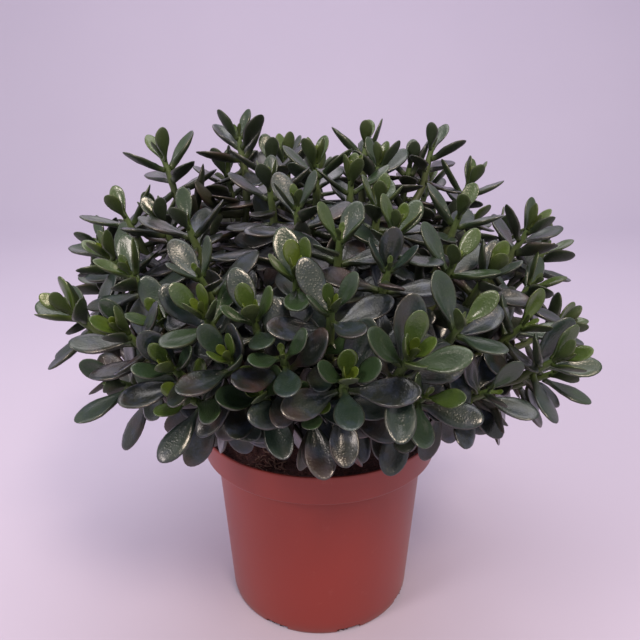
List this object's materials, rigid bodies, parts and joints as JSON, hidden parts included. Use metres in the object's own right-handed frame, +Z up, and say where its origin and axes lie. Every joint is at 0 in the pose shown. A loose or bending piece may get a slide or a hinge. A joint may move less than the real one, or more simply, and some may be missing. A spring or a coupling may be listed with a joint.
{
  "type": "potted jade plant",
  "caption": "Bushy jade plant with thick glossy spoon-shaped leaves on woody stems, in a round plastic nursery pot filled with dark soil.",
  "frame": {"origin": "centre of the pot's underside", "axes": "+Z up along the pot's axis, -Y towards the side seen from the front"},
  "size_m": [0.3464, 0.3622, 0.3433],
  "materials": {
    "pot": "smooth moulded terracotta-coloured plastic",
    "soil": null,
    "bark": "grey-brown corky bark",
    "foliage": null
  },
  "bodies": {
    "root": {"pot": "pot", "soil": "soil", "sprig_back_1": "foliage", "sprig_back_10": "foliage", "sprig_back_11": "foliage", "sprig_back_12": "foliage", "sprig_back_13": "foliage", "sprig_back_14": "foliage", "sprig_back_15": "foliage", "sprig_back_16": "foliage", "sprig_back_17": "foliage", "sprig_back_2": "foliage", "sprig_back_3": "foliage", "sprig_back_4": "foliage", "sprig_back_5": "foliage", "sprig_back_6": "foliage", "sprig_back_7": "foliage", "sprig_back_8": "foliage", "sprig_back_9": "foliage", "sprig_crown_back_right": "foliage", "sprig_crown_front": "foliage", "sprig_crown_left": "foliage", "sprig_crown_middle": "foliage", "sprig_crown_right": "foliage", "sprig_face_high": "foliage", "sprig_face_high_left": "foliage", "sprig_face_left": "foliage", "sprig_face_middle": "foliage", "sprig_face_middle_left": "foliage", "sprig_face_middle_right": "foliage", "sprig_face_right": "foliage", "sprig_low_left": "foliage", "sprig_low_middle": "foliage", "sprig_low_middle_left": "foliage", "sprig_low_right": "foliage", "sprig_shoulder_right": "foliage", "sprig_side_high_left": "foliage", "sprig_side_high_right": "foliage", "sprig_side_left": "foliage", "sprig_side_low_left": "foliage", "sprig_side_right": "foliage", "sprig_skirt_left": "foliage", "sprig_skirt_right": "foliage", "stem_1": "bark", "stem_2": "bark", "stem_3": "bark", "stem_4": "bark", "stem_5": "bark"}
  },
  "joints": []
}
